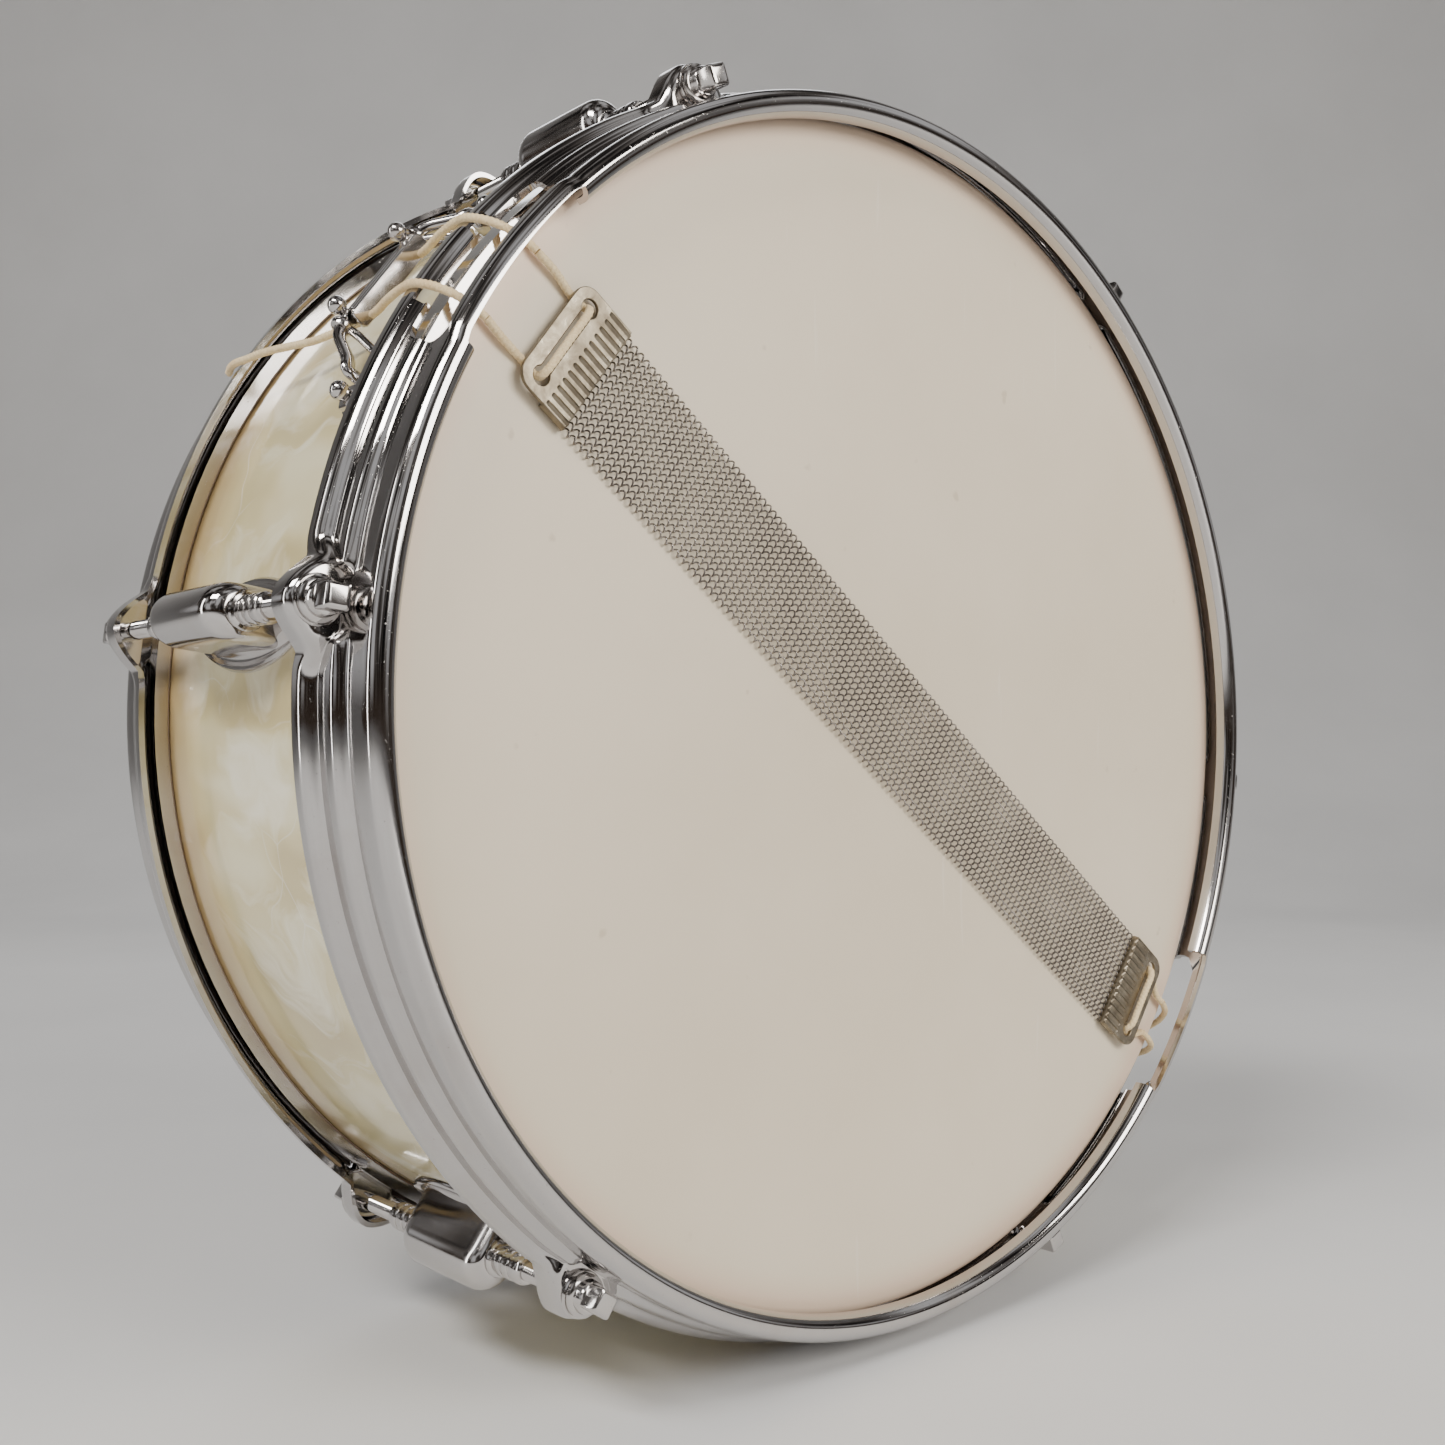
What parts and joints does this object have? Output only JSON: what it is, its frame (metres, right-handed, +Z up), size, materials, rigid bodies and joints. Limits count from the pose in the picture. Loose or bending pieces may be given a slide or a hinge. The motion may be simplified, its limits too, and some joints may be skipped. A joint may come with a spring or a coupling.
{
  "type": "snare drum",
  "caption": "Snare drum standing on edge: pearl covered shell, tensioned heads and hoops, coiled snares held by cords and a turning strainer.",
  "frame": {"origin": "on the ground under the middle of the drum, which stands on its hoops' flanges", "axes": "+Y along the drum's axis from the snare side to the batter side, +Z up, +X to the right seen from the snare side"},
  "size_m": [0.3934, 0.149, 0.375],
  "materials": {
    "maple": "oiled inner plies",
    "pearl": "aged marine pearl covering, glossy, with pale flakes and streaks",
    "film": "hazy polyester film, lightly marked",
    "grommet": "tarnished",
    "aged_nickel": "tarnished nickel plating",
    "cord": "waxed cotton",
    "wire": "bright steel wire, a little dull",
    "chrome": "polished plating with light smudges and pits"
  },
  "bodies": {
    "drum": {"shell": "maple", "pearl_cover": "pearl", "batter_ring": "maple", "snare_ring": "maple", "vent_grommet": "grommet", "batter_head": "film", "snare_head": "film", "batter_flesh_hoop": "chrome", "snare_flesh_hoop": "chrome", "batter_hoop": "chrome", "snare_hoop": "chrome", "lug_1": "chrome", "lug_2": "chrome", "lug_3": "chrome", "lug_4": "chrome", "lug_5": "chrome", "lug_6": "chrome", "swivel_nuts": "chrome", "lug_screws": "chrome", "lug_screw_washers": "chrome", "batter_rod_washers": "chrome", "snare_rod_washers": "chrome", "strainer_bracket": "chrome", "strainer_foot_screws": "chrome", "strainer_foot_nuts": "chrome", "butt_base": "chrome", "butt_clamp": "chrome", "butt_screws": "chrome", "front_cord": "cord", "back_cord": "cord", "cord_tail": "cord"},
    "throw_off": {"strainer_crossbar": "chrome", "strainer_clamp": "chrome", "strainer_clamp_screws": "chrome"},
    "snares": {"snare_plate_front": "aged_nickel", "snare_plate_back": "aged_nickel", "snare_wires": "wire", "front_loop": "cord", "back_loop": "cord"},
    "rod_b1": {"rod_b1": "chrome"},
    "rod_b2": {"rod_b2": "chrome"},
    "rod_b3": {"rod_b3": "chrome"},
    "rod_b4": {"rod_b4": "chrome"},
    "rod_b5": {"rod_b5": "chrome"},
    "rod_b6": {"rod_b6": "chrome"},
    "rod_s1": {"rod_s1": "chrome"},
    "rod_s2": {"rod_s2": "chrome"},
    "rod_s3": {"rod_s3": "chrome"},
    "rod_s4": {"rod_s4": "chrome"},
    "rod_s5": {"rod_s5": "chrome"},
    "rod_s6": {"rod_s6": "chrome"}
  },
  "joints": [
    {"name": "throw_off_turn", "type": "hinge", "parent": "drum", "child": "throw_off", "pos_m": [-0.14974, -0.0185, 0.29952], "axis": [-0.599, 0, -0.8007], "range_deg": [0, 60], "deforming": ["front_cord", "cord_tail"]},
    {"name": "snare_drop", "type": "slide", "parent": "drum", "child": "snares", "axis": [0, -1, 0], "range_m": [0, 0.0025], "deforming": ["back_cord"]},
    {"name": "rod_b1_turn", "type": "hinge", "parent": "drum", "child": "rod_b1", "pos_m": [0.18668, 0.06, 0.16524], "axis": [0, 1, 0], "continuous": true},
    {"name": "rod_b2_turn", "type": "hinge", "parent": "drum", "child": "rod_b2", "pos_m": [0.11262, 0.06, 0.33804], "axis": [0, 1, 0], "continuous": true},
    {"name": "rod_b3_turn", "type": "hinge", "parent": "drum", "child": "rod_b3", "pos_m": [-0.07406, 0.06, 0.3603], "axis": [0, 1, 0], "continuous": true},
    {"name": "rod_b4_turn", "type": "hinge", "parent": "drum", "child": "rod_b4", "pos_m": [-0.18668, 0.06, 0.20976], "axis": [0, 1, 0], "continuous": true},
    {"name": "rod_b5_turn", "type": "hinge", "parent": "drum", "child": "rod_b5", "pos_m": [-0.11262, 0.06, 0.03696], "axis": [0, 1, 0], "continuous": true},
    {"name": "rod_b6_turn", "type": "hinge", "parent": "drum", "child": "rod_b6", "pos_m": [0.07406, 0.06, 0.0147], "axis": [0, 1, 0], "continuous": true},
    {"name": "rod_s1_turn", "type": "hinge", "parent": "drum", "child": "rod_s1", "pos_m": [0.18668, -0.06, 0.16524], "axis": [0, 1, 0], "continuous": true},
    {"name": "rod_s2_turn", "type": "hinge", "parent": "drum", "child": "rod_s2", "pos_m": [0.11262, -0.06, 0.33804], "axis": [0, 1, 0], "continuous": true},
    {"name": "rod_s3_turn", "type": "hinge", "parent": "drum", "child": "rod_s3", "pos_m": [-0.07406, -0.06, 0.3603], "axis": [0, 1, 0], "continuous": true},
    {"name": "rod_s4_turn", "type": "hinge", "parent": "drum", "child": "rod_s4", "pos_m": [-0.18668, -0.06, 0.20976], "axis": [0, 1, 0], "continuous": true},
    {"name": "rod_s5_turn", "type": "hinge", "parent": "drum", "child": "rod_s5", "pos_m": [-0.11262, -0.06, 0.03696], "axis": [0, 1, 0], "continuous": true},
    {"name": "rod_s6_turn", "type": "hinge", "parent": "drum", "child": "rod_s6", "pos_m": [0.07406, -0.06, 0.0147], "axis": [0, 1, 0], "continuous": true}
  ],
  "couplings": [
    {"joint": "throw_off_turn", "follows": "snare_drop", "rad_per_m": 418}
  ]
}
